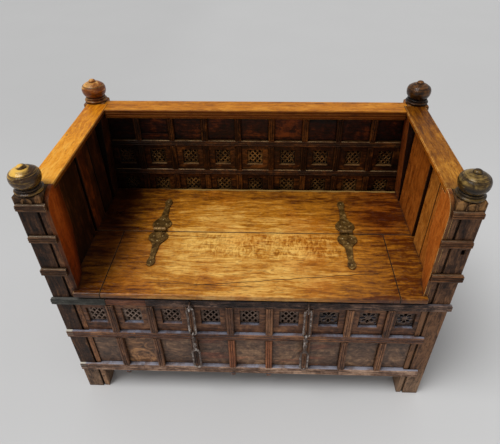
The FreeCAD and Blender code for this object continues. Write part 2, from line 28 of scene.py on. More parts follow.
# places on the bench that the looks refer to
SEAT_TOP = reach("seat_lid", Z)[1]
LID_FRONT = reach("seat_lid", Y)[0]
SEAM_Y = (reach("seat_lid", Y)[1] + reach("seat_rear_board", Y)[0]) / 2.0
SEAM_X = (reach("seat_lid", X)[1] + reach("seat_side_board_right", X)[0]) / 2.0
SEAT_REAR = reach("seat_rear_board", Y)[1]
POST_TOP = reach("front_post_left", Z)[1]
FINIAL_TOP = reach("finial_front_left", Z)[1]
RAIL_LEFT_END = reach("front_base_rail", X)[0]

# widths of one cell of the front and of the back, in metres
CELL_FRONT = 0.1134
CELL_BACK = 0.1107

# cracks in the seat: start and end as x and y, and half the width, in metres
CRACKS = (
    ((-0.17, -0.250), (0.385, -0.186), 0.0016),
    ((-0.30, -0.240), (0.02, -0.250), 0.0011),
    ((-0.34, -0.034), (-0.05, -0.043), 0.0010),
)

# how far an edge is rounded, and how far away the painted shade and dirt of creases and corners look
# for a neighbour, in metres
EDGE_RADIUS = 0.003
CREASE_REACH = 0.007
CORNER_SHADE_REACH = 0.030
RELIEF_DEPTH = 0.0012

# directions that faces turn to
TO_FRONT, TO_LEFT, TO_RIGHT = (0.0, -1.0, 0.0), (-1.0, 0.0, 0.0), (1.0, 0.0, 0.0)
UP = (0.0, 0.0, 1.0)
SHOULDER = (0.0, -0.7, 0.71)
# the side of a finial's dome that carries a painted highlight
HIGHLIGHT_SIDE = (-0.36, -0.30, 0.88)


def rgb(r, g, b):
    # screen colour, 0 to 255, as the linear colour that the shaders use
    def one(v):
        v = v / 255.0
        return v / 12.92 if v <= 0.04045 else ((v + 0.055) / 1.055) ** 2.4
    return (one(r), one(g), one(b), 1.0)


def deeper(colour, share):
    # the same colour with only a share of its light
    return tuple(c * share for c in colour[:3]) + (1.0,)


class Tree:
    """A material's nodes, built by short calls."""

    def __init__(self, name):
        self.mat = bpy.data.materials.new(name)
        self.mat.use_nodes = True
        self.nodes = self.mat.node_tree.nodes
        self.links = self.mat.node_tree.links
        self.nodes.clear()
        self.out = self.nodes.new("ShaderNodeOutputMaterial")
        self.bsdf = self.nodes.new("ShaderNodeBsdfPrincipled")
        self.links.new(self.bsdf.outputs[0], self.out.inputs["Surface"])
        coords = self.nodes.new("ShaderNodeTexCoord")
        self.co = coords.outputs["Object"]
        self.face = coords.outputs["Normal"]

    def put(self, socket, value):
        if isinstance(value, bpy.types.NodeSocket):
            self.links.new(value, socket)
        elif value is not None:
            socket.default_value = value

    def math(self, op, a, b=None, c=None):
        n = self.nodes.new("ShaderNodeMath")
        n.operation = op
        for i, v in enumerate((a, b, c)):
            self.put(n.inputs[i], v)
        return n.outputs[0]

    def vec(self, op, a, b=None):
        n = self.nodes.new("ShaderNodeVectorMath")
        n.operation = op
        self.put(n.inputs[0], a)
        if op == "SCALE":
            self.put(n.inputs["Scale"], b)
        else:
            self.put(n.inputs[1], b)
        return n.outputs["Value" if op == "DOT_PRODUCT" else "Vector"]

    def xyz(self, v):
        n = self.nodes.new("ShaderNodeSeparateXYZ")
        self.put(n.inputs[0], v)
        return n.outputs[0], n.outputs[1], n.outputs[2]

    def join(self, x, y, z):
        n = self.nodes.new("ShaderNodeCombineXYZ")
        for i, v in enumerate((x, y, z)):
            self.put(n.inputs[i], v)
        return n.outputs[0]

    def mix(self, fac, a, b, blend="MIX"):
        n = self.nodes.new("ShaderNodeMix")
        n.data_type = "RGBA"
        n.blend_type = blend
        self.put(n.inputs[0], fac)
        self.put(n.inputs[6], a)
        self.put(n.inputs[7], b)
        return n.outputs[2]

    def noise(self, vector, scale, detail=3.0, rough=0.55, distort=0.0, colour=False):
        n = self.nodes.new("ShaderNodeTexNoise")
        self.put(n.inputs["Vector"], vector)
        n.inputs["Scale"].default_value = scale
        n.inputs["Detail"].default_value = detail
        n.inputs["Roughness"].default_value = rough
        n.inputs["Distortion"].default_value = distort
        return n.outputs[1 if colour else 0]

    def span(self, v, a, b, lo=0.0, hi=1.0):
        n = self.nodes.new("ShaderNodeMapRange")
        n.interpolation_type = "SMOOTHSTEP"
        for i, x in enumerate((v, a, b, lo, hi)):
            self.put(n.inputs[i], x)
        return n.outputs[0]

    def ramp(self, fac, stops):
        n = self.nodes.new("ShaderNodeValToRGB")
        self.put(n.inputs[0], fac)
        n.color_ramp.elements[0].position = stops[0][0]
        n.color_ramp.elements[0].color = stops[0][1]
        n.color_ramp.elements[1].position = stops[-1][0]
        n.color_ramp.elements[1].color = stops[-1][1]
        for p, c in stops[1:-1]:
            n.color_ramp.elements.new(p).color = c
        return n.outputs[0]

    def occlusion(self, distance):
        n = self.nodes.new("ShaderNodeAmbientOcclusion")
        n.samples = 6
        n.inputs["Distance"].default_value = distance
        return n.outputs["AO"]

    def edge(self, radius):
        # the normal rounded over sharp edges, and 1 near those edges, 0 on flat faces
        n = self.nodes.new("ShaderNodeBevel")
        n.samples = 4
        n.inputs["Radius"].default_value = radius
        g = self.nodes.new("ShaderNodeNewGeometry")
        d = self.vec("DOT_PRODUCT", n.outputs[0], g.outputs["Normal"])
        return n.outputs[0], self.span(d, 0.99, 0.86)

    def bump(self, height, strength, distance, normal):
        n = self.nodes.new("ShaderNodeBump")
        n.inputs["Strength"].default_value = strength
        n.inputs["Distance"].default_value = distance
        self.put(n.inputs["Height"], height)
        self.put(n.inputs["Normal"], normal)
        self.put(self.bsdf.inputs["Normal"], n.outputs[0])


def board_id(t, size, shift):
    # a random number for each board, from which cell of a grid it lies in
    parts = []
    for v, s, o in zip(t.xyz(t.co), size, shift):
        parts.append(t.math("FLOOR", t.math("MULTIPLY_ADD", v, 1.0 / s if s else 0.0, o)))
    n = t.nodes.new("ShaderNodeTexWhiteNoise")
    n.noise_dimensions = "3D"
    t.put(n.inputs["Vector"], t.join(*parts))
    return n.outputs["Value"], n.outputs["Color"]


def wood_patterns(t, place, grain, stretch, rings):
    """The patterns that a wood's colour and relief are made of, stretched along its grain."""
    s = stretch
    along = {"x": (s, 1.0, 1.0), "y": (1.0, s, 1.0), "z": (1.0, 1.0, s), "r": (s, s, 1.0)}[grain]
    hair = tuple(0.04 if a < 1 else 1.0 for a in along)
    wander = t.noise(place, 6.0, 3.0, colour=True)
    wander = t.vec("SCALE", t.vec("SUBTRACT", wander, (0.5, 0.5, 0.5)), 0.05)
    lined = t.vec("MULTIPLY", t.vec("ADD", place, wander), along)
    broad = t.noise(lined, 15.0, 3.0, 0.5, 0.5)
    ring = t.math("SINE", t.math("MULTIPLY", broad, rings))
    return {
        "ring": t.math("MULTIPLY_ADD", ring, 0.5, 0.5),
        "streak": t.noise(lined, 95.0, 6.0, 0.72, 0.25),
        "fine": t.noise(t.vec("MULTIPLY", place, hair), 620.0, 2.0, 0.6),
        "spot": t.noise(place, 48.0, 5.0, 0.72, 0.8),
        "patch": t.noise(place, 7.0, 4.0, 0.6, 0.5),
        "pores": t.span(t.noise(lined, 300.0, 1.0, 0.5), 0.58, 0.66),
    }


def add_crease_shade(t, colour, rough, close, tone):
    # painted shade, with some dirt, darkens tight creases
    crease_shade = t.span(close, 0.40, 0.80, 0.75, 0.0)
    return t.mix(crease_shade, colour, tone), t.math("MULTIPLY_ADD", crease_shade, 0.35, rough)


def worn_highlit_edges(t, colour, place, sharp, wear_and_highlight, tone):
    # edges that stand out are worn to a paler tone, which also serves as a painted highlight, here
    # and there
    rub = t.noise(place, 34.0, 4.0, 0.7)
    rub = t.math("MULTIPLY", sharp, t.span(rub, 0.36, 0.62, 0.15 * wear_and_highlight, wear_and_highlight))
    return t.mix(rub, colour, tone)


def painted_edge_highlights(t, colour, place, soft, sharp, amount, tone, where):
    # painted highlight: upper edges are made palest, as if lit from above
    painted_highlight = t.span(t.vec("DOT_PRODUCT", soft, UP), 0.25, 0.6)
    cloud = t.span(t.noise(place, 30.0, 4.0, 0.7), 0.38, 0.58, 0.25, 1.0)
    painted_highlight = t.math("MULTIPLY", t.math("MULTIPLY", painted_highlight, sharp), cloud)
    if where is not None:
        painted_highlight = t.math("MULTIPLY", painted_highlight, where)
    return t.mix(t.math("MULTIPLY", painted_highlight, amount), colour, tone)


def add_dust_and_sheen(t, colour, rough, place, amount, tone):
    # dust lies on what faces up, in clouds, and with it a painted sheen that makes those tops paler
    up = t.span(t.vec("DOT_PRODUCT", t.face, UP), 0.6, 0.95)
    cloud = t.span(t.noise(place, 26.0, 5.0, 0.7), 0.36, 0.60, 0.3, 1.0)
    cover = t.math("MULTIPLY", t.math("MULTIPLY", up, cloud), amount)
    return t.mix(cover, colour, tone), t.math("MULTIPLY_ADD", cover, 0.3, rough)


def add_corner_shade_and_dirt(t, colour, rough, amount, tone):
    # painted shade darkens corners and recesses, together with old dirt
    near = t.math("MULTIPLY", t.span(t.occlusion(CORNER_SHADE_REACH), 0.20, 0.90, 1.0, 0.0), amount)
    return t.mix(near, colour, tone), t.math("MULTIPLY_ADD", near, 0.15, rough)


def wood_relief(t, pattern, info, mottle, dents, soft):
    # fibres, pores, dents and cracks as small relief
    dent = t.noise(info["place"], 20.0, 3.0, 0.5)
    height = t.math("MULTIPLY_ADD", dent, dents * 2.2, t.math("MULTIPLY", pattern["streak"], 0.9))
    height = t.math("MULTIPLY_ADD", pattern["spot"], 0.5 * mottle, height)
    height = t.math("MULTIPLY_ADD", pattern["pores"], -0.45, height)
    height = t.math("MULTIPLY_ADD", pattern["fine"], 0.22, height)
    if "cut" in info:
        height = t.math("MULTIPLY_ADD", info["cut"], -1.6, height)
    t.bump(height, 0.6, RELIEF_DEPTH, soft)


def wood(name, tones, grain="x", boards=None, vary=0.0, figure=1.0, stretch=0.10, rings=24.0,
         mottle=0.5, gloss=0.36, spec=0.25, dust_and_sheen=0.0, dust_and_sheen_tone=rgb(150, 153, 170), wear_and_highlight=0.3,
         wear_and_highlight_tone=None, corner_shade_and_dirt=0.6, dents=0.4, blotch=0.35, lit=0.0, lit_tone=None, faces=(),
         extra=None):
    """Old polished wood: fibres, growth rings, pores, patina, worn edges with a painted highlight,
    dust with a painted sheen on tops, and painted shade with dirt in creases and corners.

    tones are its dark, middle and light colour, grain the axis that the fibres follow, r for
    turned work. boards are the size and shift of the grid that tells its boards apart. faces
    are directions whose faces get a tint of painted light or shade. extra changes the tone and
    adds to info: tints multiply the colour, stains_and_highlights cover it, shade darkens it
    last as painted shade, lit says where upper edges carry a painted highlight and cut is where
    it is cracked.
    """
    t = Tree(name)
    place = t.co
    tone_shift = 0.0
    if boards:
        value, colour = board_id(t, *boards)
        place = t.vec("ADD", t.co, t.vec("SCALE", colour, 7.0))
        tone_shift = t.math("MULTIPLY", t.math("SUBTRACT", value, 0.5), vary)
    pattern = wood_patterns(t, place, grain, stretch, rings)
    tone = 0.5
    for key, share in (("streak", 1.5 * figure), ("ring", 0.14 * figure), ("spot", 1.6 * mottle),
                       ("patch", 1.6 * blotch), ("fine", 0.55)):
        tone = t.math("MULTIPLY_ADD", t.math("SUBTRACT", pattern[key], 0.5), share, tone)
    tone = t.math("ADD", tone, tone_shift)
    info = {"place": place, "patch": pattern["patch"], "tints": [], "stains_and_highlights": []}
    if extra:
        tone = extra(t, tone, info)

    dark, mid, light = tones
    colour = t.ramp(tone, [(0.08, dark), (0.5, mid), (0.95, light)])
    colour = t.mix(t.math("MULTIPLY", pattern["pores"], 0.4), colour, dark)
    for share, tint in info["tints"]:
        colour = t.mix(share, colour, tint, "MULTIPLY")
    # faces turned one way get a tint: painted light or shade on that side
    for direction, tint in faces:
        facing = t.span(t.vec("DOT_PRODUCT", t.face, direction), 0.5, 0.85)
        colour = t.mix(facing, colour, tint, "MULTIPLY")
    rough = t.math("MULTIPLY_ADD", pattern["patch"], 0.22, gloss - 0.11)
    rough = t.math("MULTIPLY_ADD", pattern["pores"], 0.10, rough)

    # only edges that stand out count as sharp
    soft, sharp = t.edge(EDGE_RADIUS)
    close = t.occlusion(CREASE_REACH)
    sharp = t.math("MULTIPLY", sharp, t.span(close, 0.66, 0.90))
    # painted shade darkens tight creases
    colour, rough = add_crease_shade(t, colour, rough, close, deeper(dark, 0.35))
    colour = worn_highlit_edges(t, colour, place, sharp, wear_and_highlight, wear_and_highlight_tone or light)
    if lit:
        colour = painted_edge_highlights(t, colour, place, soft, sharp, lit, lit_tone, info.get("lit"))
    if dust_and_sheen:
        colour, rough = add_dust_and_sheen(t, colour, rough, place, dust_and_sheen, dust_and_sheen_tone)
    colour, rough = add_corner_shade_and_dirt(t, colour, rough, corner_shade_and_dirt, deeper(dark, 0.16))
    if "shade" in info:
        share, tint = info["shade"]
        colour = t.mix(share, colour, tint, "MULTIPLY")
    for share, tint in info["stains_and_highlights"]:
        colour = t.mix(share, colour, tint)
        rough = t.math("MULTIPLY_ADD", share, 0.35, rough)
    t.put(t.bsdf.inputs["Base Color"], colour)
    t.put(t.bsdf.inputs["Roughness"], rough)
    t.bsdf.inputs["Specular IOR Level"].default_value = spec
    wood_relief(t, pattern, info, mottle, dents, soft)
    return t.mat


def line_mask(t, u, v, start, end, half, wobble):
    # a thin crack from start to end, in metres, that wanders a little
    (u0, v0), (u1, v1) = start, end
    slope = (v1 - v0) / (u1 - u0)
    want = t.math("MULTIPLY_ADD", t.math("SUBTRACT", u, u0), slope, v0)
    off = t.math("SUBTRACT", t.math("SUBTRACT", v, want), wobble)
    near = t.span(t.math("ABSOLUTE", off), half * 0.4, half, 1.0, 0.0)
    inside = t.math("MULTIPLY", t.span(u, u0, u0 + 0.02), t.span(u, u1 - 0.02, u1, 1.0, 0.0))
    return t.math("MULTIPLY", near, inside)


def seat_cracks(t, x, y, z):
    # long cracks in the seat's upper side
    wobble = t.math("MULTIPLY_ADD", t.noise(t.co, 30.0, 2.0), 0.008, -0.004)
    crack = 0.0
    for start, end, half in CRACKS:
        crack = t.math("MAXIMUM", crack, line_mask(t, x, y, start, end, half, wobble))
    return t.math("MULTIPLY", crack, t.span(z, SEAT_TOP - 0.0005, SEAT_TOP - 0.0002))


def seat_seams(t, x, y):
    # the dirty joints between the lid and the boards around it
    seam_y = t.span(t.math("ABSOLUTE", t.math("SUBTRACT", y, SEAM_Y)), 0.0014, 0.0030, 1.0, 0.0)
    seam_x = t.math("SUBTRACT", t.math("ABSOLUTE", x), SEAM_X)
    seam_x = t.span(t.math("ABSOLUTE", seam_x), 0.0010, 0.0024, 1.0, 0.0)
    seam_x = t.math("MULTIPLY", seam_x, t.math("LESS_THAN", y, SEAM_Y + 0.002))
    return t.math("MAXIMUM", seam_x, seam_y)


def seat_lit_middle_and_figure(t, tone, info, x, y):
    # a painted pool of light, with wear, makes the middle bright and the ends dark; with a curly
    # figure behind the middle and flowing grain
    dx = t.math("MULTIPLY", t.math("ADD", x, 0.02), 1.0 / 0.50)
    dy = t.math("MULTIPLY", t.math("ADD", y, 0.110), 1.0 / 0.42)
    away = t.math("SQRT", t.math("ADD", t.math("MULTIPLY", dx, dx), t.math("MULTIPLY", dy, dy)))
    away = t.math("MULTIPLY_ADD", t.math("SUBTRACT", info["patch"], 0.5), 0.9, away)
    tone = t.math("ADD", tone, t.span(away, 0.25, 1.05, 0.21, -0.36))
    curl = t.vec("MULTIPLY", t.vec("ADD", t.co, (0.3, 0.0, 0.0)), (1.0, 0.35, 1.0))
    curl = t.noise(curl, 105.0, 2.0, 0.5, 1.2)
    curl = t.math("MULTIPLY", t.math("SUBTRACT", curl, 0.5), 1.3)
    here = t.math("MULTIPLY", t.span(y, -0.16, -0.10), t.span(y, -0.01, -0.04))
    here = t.math("MULTIPLY", here, t.span(t.math("ABSOLUTE", t.math("ADD", x, -0.05)), 0.34, 0.1))
    tone = t.math("MULTIPLY_ADD", curl, here, tone)
    flow = t.vec("MULTIPLY", info["place"], (0.14, 1.0, 1.0))
    flow = t.noise(flow, 42.0, 4.0, 0.6, 1.3)
    return t.math("ADD", tone, t.math("SUBTRACT", flow, 0.5))


def seat_extra(t, tone, info):
    # the whole seat: a painted pool of light with figure, cracks, dirty seams, the left arm's painted
    # shadow, a darker right rear and a dusty rear edge with a painted highlight
    x, y, z = t.xyz(t.co)
    tone = seat_lit_middle_and_figure(t, tone, info, x, y)
    crack = seat_cracks(t, x, y, z)
    dirt = t.math("MAXIMUM", crack, t.math("MULTIPLY", seat_seams(t, x, y), 0.9))
    info["stains_and_highlights"].append((t.math("MULTIPLY", dirt, 0.9), rgb(30, 14, 4)))
    # the painted highlight on upper edges is kept to the lid's front edge
    info["lit"] = t.math("LESS_THAN", y, LID_FRONT + 0.009)
    info["cut"] = crack
    # painted shadow: the left arm's shadow darkens the seat's left rear
    left = t.span(x, -0.33, -0.45, 0.0, 1.0)
    rear = t.span(y, -0.24, 0.02, 0.68, 1.0)
    info["tints"].append((t.math("MULTIPLY", left, rear), (0.23, 0.17, 0.13, 1.0)))
    right = t.math("MULTIPLY", t.span(x, 0.20, 0.42), t.span(y, -0.06, 0.04))
    info["tints"].append((right, (0.72, 0.60, 0.70, 1.0)))
    red = t.span(t.noise(t.co, 5.0, 2.0), 0.50, 0.62)
    info["tints"].append((t.math("MULTIPLY", red, 0.6), (0.86, 0.68, 0.50, 1.0)))
    # the rear edge against the back is pale tan: dust, and a painted highlight where the edge is lit
    ragged = t.math("MULTIPLY_ADD", t.noise(t.co, 24.0, 3.0), 0.016, y)
    ledge = t.span(ragged, SEAT_REAR - 0.0020, SEAT_REAR + 0.0005)
    ledge = t.math("MULTIPLY", ledge, t.span(x, -0.34, -0.22))
    ledge = t.math("MULTIPLY", ledge, t.span(z, SEAT_TOP - 0.0010, SEAT_TOP - 0.0001))
    info["stains_and_highlights"].append((t.math("MULTIPLY", ledge, 0.75), rgb(172, 138, 74)))
    return tone


def post_block(t):
    # 1 on the block at the top of a post, 0 below it
    return t.span(t.xyz(t.co)[Z], POST_TOP - 0.032, POST_TOP - 0.020)


def post_face(t, tone, info):
    # the narrow inner strip of a front post is rubbed lighter, and its foot is dusty
    strip_edge = 0.4965
    strip_front = -0.270
    x, y, z = t.xyz(t.co)
    on_left = t.math("LESS_THAN", x, 0.0)
    on_right = t.math("GREATER_THAN", x, 0.0)
    strip = t.math("MULTIPLY", t.math("LESS_THAN", t.math("ABSOLUTE", x), strip_edge),
                   t.math("LESS_THAN", y, strip_front))
    tone = t.math("MULTIPLY_ADD", strip, 0.18, tone)
    info["tints"].append((t.math("MULTIPLY", strip, on_left), (1.5, 1.4, 1.3, 1.0)))
    info["tints"].append((t.span(z, 0.17, 0.05), (1.35, 1.70, 2.10, 1.0)))
    # the left one is darker high up, the right one lighter low down
    left = t.math("MULTIPLY", t.span(z, 0.36, 0.60, 0.0, -0.20), on_left)
    right = t.math("MULTIPLY", t.span(z, 0.52, 0.40, 0.0, 0.28), on_right)
    tone = t.math("ADD", t.math("ADD", tone, left), right)
    # the block under the finial is worn olive brown
    block = post_block(t)
    info["tints"].append((block, (1.60, 1.72, 1.25, 1.0)))
    tone = t.math("MULTIPLY_ADD", block, 0.16, tone)
    return t.math("ADD", tone, t.span(z, 0.03, 0.16, 0.22, 0.0))


def golden_cap(t, tone, info):
    # a rear post's top is polished golden brown
    block = post_block(t)
    info["tints"].append((block, (1.9, 1.6, 0.9, 1.0)))
    return t.math("MULTIPLY_ADD", block, 0.22, tone)


def along_y(front, rear, tip=(1.0, 1.0, 1.0, 1.0)):
    # the tone runs from front to rear of an arm, and its front tip has a tint of its own
    def change(t, tone, info):
        y = t.xyz(t.co)[Y]
        info["tints"].append((t.span(y, -0.165, -0.205), tip))
        return t.math("ADD", tone, t.span(y, -0.20, 0.22, front, rear))
    return change


def stile_shade(t, tone, info):
    # the left arm's front stile is polished and light in front; where the boards begin and towards
    # the bottom it is darkened as painted shade
    y, z = t.xyz(t.co)[Y:]
    info["tints"].append((t.span(y, -0.232, -0.200), (0.30, 0.24, 0.16, 1.0)))
    return t.math("ADD", tone, t.span(z, 0.50, 0.72, -0.22, 0.10))


def band_sides(t, tone, info):
    # the left post's bands carry the stronger painted highlight on their upper edges, the right ones
    # are browner
    x = t.xyz(t.co)[X]
    info["lit"] = t.span(x, -0.47, 0.45, 1.0, 0.30)
    info["tints"].append((t.math("GREATER_THAN", x, 0.0), (1.20, 1.05, 0.86, 1.0)))
    return tone


def red_board(t, tone, info):
    # the left arm's middle board is redder and brighter on its front half
    board_front, board_middle = -0.010, 0.016
    y = t.xyz(t.co)[Y]
    strip = t.math("MULTIPLY", t.span(y, board_front - 0.008, board_front),
                   t.span(y, board_middle + 0.026, board_middle))
    info["tints"].append((strip, (2.6, 1.9, 1.2, 1.0)))
    return tone


def two_colours(t, tone, info):
    # the right arm's middle board is golden, the front one browner, the rear one red-brown
    front_joint = -0.120
    rear_joint = -0.035
    y = t.xyz(t.co)[Y]
    info["tints"].append((t.span(y, rear_joint - 0.005, rear_joint + 0.005),
                          (0.80, 0.62, 0.48, 1.0)))
    info["tints"].append((t.span(y, front_joint + 0.002, front_joint - 0.002),
                          (0.86, 0.72, 0.60, 1.0)))
    return t.math("ADD", tone, t.span(y, -0.19, 0.15, 0.16, -0.06))


def finial_highlight_and_shade(amount, start):
    # a turned finial, polished, with a painted highlight on its dome, darker below, and painted shade
    # in its groove
    groove_z = FINIAL_TOP - 0.0186
    dome_z = FINIAL_TOP - 0.018
    neck_z = FINIAL_TOP - 0.053

    def change(t, tone, info):
        z = t.xyz(t.co)[Z]
        painted_highlight = t.span(t.vec("DOT_PRODUCT", t.face, HIGHLIGHT_SIDE), start, 0.99, 0.0, amount)
        painted_highlight = t.math("MULTIPLY", painted_highlight, t.span(z, dome_z - 0.020, dome_z))
        low = t.span(z, neck_z + 0.022, neck_z)
        info["tints"].append((low, (0.60, 0.56, 0.50, 1.0)))
        groove = t.math("ABSOLUTE", t.math("SUBTRACT", z, groove_z))
        groove = t.span(groove, 0.0009, 0.0022, 0.8, 0.0)
        info["tints"].append((groove, (0.2, 0.16, 0.12, 1.0)))
        return t.math("ADD", tone, painted_highlight)
    return change


def inner_face_shade(t, tone, info):
    # painted shade: the side boards' inner faces, which lie in the dark between the arm boards, are
    # darkened
    inner_face = 0.5205
    from_face = t.math("ABSOLUTE", t.math("SUBTRACT", t.math("ABSOLUTE", t.xyz(t.co)[X]), inner_face))
    info["tints"].append((t.math("LESS_THAN", from_face, 0.0010), (0.10, 0.08, 0.06, 1.0)))
    return tone


def worn_highlit_ends(t, tone, info):
    # the left ends of the rails' tops are almost white: worn, and with a painted highlight
    x = t.xyz(t.co)[X]
    up = t.span(t.vec("DOT_PRODUCT", t.face, UP), 0.5, 0.9)
    end = t.math("MULTIPLY", t.span(x, RAIL_LEFT_END + 0.020, RAIL_LEFT_END + 0.014), up)
    info["stains_and_highlights"].append((t.math("MULTIPLY", end, 0.9), rgb(222, 214, 196)))
    return tone


def burl(t, tone, info):
    # swirling figure of the lower panels, boldest and most golden in the second one
    second_left, second_right = -0.385, -0.300
    x = t.xyz(t.co)[X]
    swirl = t.noise(info["place"], 17.0, 4.0, 0.62, 3.2)
    bold = t.math("MULTIPLY", t.span(x, second_left - 0.020, second_left),
                  t.span(x, second_right + 0.015, second_right))
    info["tints"].append((bold, (1.22, 1.05, 0.80, 1.0)))
    red = t.noise(t.vec("MULTIPLY", info["place"], (0.12, 1.0, 1.0)), 34.0, 3.0)
    red = t.math("MULTIPLY", t.span(red, 0.52, 0.64), t.span(t.math("ABSOLUTE", x), 0.36, 0.16))
    info["tints"].append((red, (1.30, 0.84, 0.74, 1.0)))
    swirl = t.math("MULTIPLY", t.math("SUBTRACT", swirl, 0.5), t.span(bold, 0.0, 1.0, 1.1, 2.4))
    return t.math("ADD", tone, swirl)


def left_light(near, far):
    # tone change from the left end of the front to its middle
    def change(t, tone, info):
        return t.math("ADD", tone, t.span(t.xyz(t.co)[X], -0.50, -0.05, near, far))
    return change


def corner_shade(t, tone, info):
    # the back is darkest in the left arm's shade
    info["shade"] = (t.span(t.xyz(t.co)[X], -0.30, -0.42), (0.24, 0.20, 0.16, 1.0))
    return tone


def iron(name, tones, rust=0.4, metal=0.6, rough=0.34):
    """Hand forged iron with a brown patina, rubbed brighter on its edges, with a painted highlight on
    the upper ones and painted shade in its recesses.
    """
    t = Tree(name)
    patch = t.noise(t.co, 55.0, 5.0, 0.65, 0.6)
    fine = t.noise(t.co, 420.0, 3.0, 0.6)
    tone = t.math("MULTIPLY_ADD", t.math("SUBTRACT", fine, 0.5), 0.5, patch)
    colour = t.ramp(tone, [(0.25, tones[0]), (0.52, tones[1]), (0.8, tones[2])])
    spots = t.span(t.noise(t.co, 90.0, 4.0, 0.7), 0.55, 0.72, 0.0, rust)
    colour = t.mix(spots, colour, rgb(92, 58, 30))
    soft, sharp = t.edge(0.0015)
    # painted highlight: edges that face up towards the lamp are paler, along with rubbing
    up = t.span(t.vec("DOT_PRODUCT", soft, (-0.25, -0.25, 0.93)), 0.30, 0.85, 0.1, 1.0)
    rub = t.math("MULTIPLY", t.math("MULTIPLY", sharp, up), t.span(patch, 0.42, 0.6, 0.2, 0.9))
    colour = t.mix(rub, colour, tones[2])
    # painted shade darkens recesses
    near = t.span(t.occlusion(0.010), 0.3, 0.95, 0.7, 0.0)
    colour = t.mix(near, colour, deeper(tones[0], 0.3))
    t.put(t.bsdf.inputs["Base Color"], colour)
    t.put(t.bsdf.inputs["Metallic"], t.math("MULTIPLY_ADD", spots, -0.6 * metal, metal))
    t.put(t.bsdf.inputs["Roughness"], t.math("MULTIPLY_ADD", patch, 0.35, rough - 0.1))
    height = t.math("MULTIPLY_ADD", fine, 0.4, t.math("MULTIPLY", patch, 1.2))
    t.bump(height, 0.6, 0.0008, soft)
    return t.mat


# board grids: the size of a cell, and its shift, with the middle cell centred
FRONT = ((CELL_FRONT, 0.0, 0.0), (0.5, 0.0, 0.0))
BACK = ((CELL_BACK, 0.0, 0.11), (0.5, 0.0, 0.0))
BACK_TOP_ROW = ((CELL_BACK, 0.0, 0.0), (0.5, 0.0, 0.0))

# carved and dark woods
carved_tones = (rgb(32, 19, 12), rgb(98, 63, 43), rgb(160, 112, 76))
back_tones = (rgb(15, 7, 2), rgb(54, 26, 8), rgb(124, 72, 26))
post_tones = (rgb(22, 13, 8), rgb(64, 41, 27), rgb(124, 86, 58))

post_wood = wood("post_wood", post_tones, "z", wear_and_highlight=0.8, gloss=0.44, spec=0.15, figure=1.2,
                 mottle=0.7, wear_and_highlight_tone=rgb(140, 104, 72), extra=post_face)
rear_post_wood = wood("rear_post_wood", post_tones, "z", wear_and_highlight=0.5, gloss=0.44, spec=0.15,
                      wear_and_highlight_tone=rgb(120, 84, 50), extra=golden_cap)
# the bands carry a painted highlight on their upper edges
band_wood = wood("band_wood", (rgb(26, 16, 10), rgb(74, 48, 31), rgb(136, 96, 62)), "x",
                 ((0, 0, 0.11), (0, 0, 0)), 0.2, dust_and_sheen=0.5,
                 wear_and_highlight=0.6, gloss=0.45, spec=0.15, lit=1.0, lit_tone=rgb(224, 208, 180),
                 wear_and_highlight_tone=rgb(138, 104, 74), dust_and_sheen_tone=rgb(110, 88, 64), extra=band_sides)
rail_wood = wood("front_rail_wood", carved_tones, "x", ((0.31, 0, 0.14), (0.1, 0, 0)), 0.25,
                 dust_and_sheen=1.0, wear_and_highlight=0.7, gloss=0.42, spec=0.2, mottle=0.7, figure=1.2,
                 wear_and_highlight_tone=rgb(146, 106, 80), extra=worn_highlit_ends)
base_rail_wood = wood("base_rail_wood", (rgb(40, 27, 20), rgb(122, 90, 70), rgb(196, 160, 134)),
                      "x", ((0.31, 0, 0), (0.1, 0, 0)), 0.2, dust_and_sheen=1.0, wear_and_highlight=0.9, gloss=0.42,
                      spec=0.2, mottle=0.9, figure=1.5, wear_and_highlight_tone=rgb(176, 140, 112),
                      dust_and_sheen_tone=rgb(172, 172, 186), extra=worn_highlit_ends)
long_rail_wood = wood("long_rail_wood", (rgb(18, 13, 10), rgb(68, 49, 40), rgb(136, 106, 88)), "x",
                      dust_and_sheen=0.6, wear_and_highlight=0.7, gloss=0.42, spec=0.2, mottle=1.1, figure=1.5,
                      wear_and_highlight_tone=rgb(120, 102, 90), dust_and_sheen_tone=rgb(108, 108, 118))
grey_wood = wood("grey_wood", (rgb(26, 26, 24), rgb(60, 59, 54), rgb(112, 110, 102)), "x",
                 dust_and_sheen=0.6, wear_and_highlight=0.5, gloss=0.5, spec=0.2, dust_and_sheen_tone=rgb(124, 122, 116),
                 wear_and_highlight_tone=rgb(150, 142, 124))
patch_wood = wood("patch_wood", (rgb(60, 30, 17), rgb(118, 72, 48), rgb(160, 106, 74)), "x",
                  dust_and_sheen=0.3, wear_and_highlight=0.5, gloss=0.42, spec=0.2)
stile_wood = wood("front_stile_wood", carved_tones, "z", ((CELL_FRONT, 0, 0.142), (0, 0, 0.1)), 0.35,
                  wear_and_highlight=1.0, mottle=0.6, spec=0.2, figure=1.2, wear_and_highlight_tone=rgb(172, 122, 82))
pale_stile_wood = wood("pale_stile_wood", (rgb(80, 40, 20), rgb(138, 80, 46), rgb(180, 116, 72)),
                       "z", wear_and_highlight=0.6, spec=0.2, wear_and_highlight_tone=rgb(186, 130, 90))
frame_wood = wood("window_frame_wood", carved_tones, "x", FRONT, 0.3, dust_and_sheen=1.0, wear_and_highlight=0.8,
                  spec=0.2, mottle=0.8, wear_and_highlight_tone=rgb(158, 112, 80))
lattice_wood = wood("lattice_wood", (rgb(34, 25, 20), rgb(104, 80, 66), rgb(160, 136, 120)), "x",
                    FRONT, 0.3, dust_and_sheen=0.6, wear_and_highlight=1.0, corner_shade_and_dirt=0.35, spec=0.2,
                    wear_and_highlight_tone=rgb(176, 152, 136), extra=left_light(0.36, -0.08))
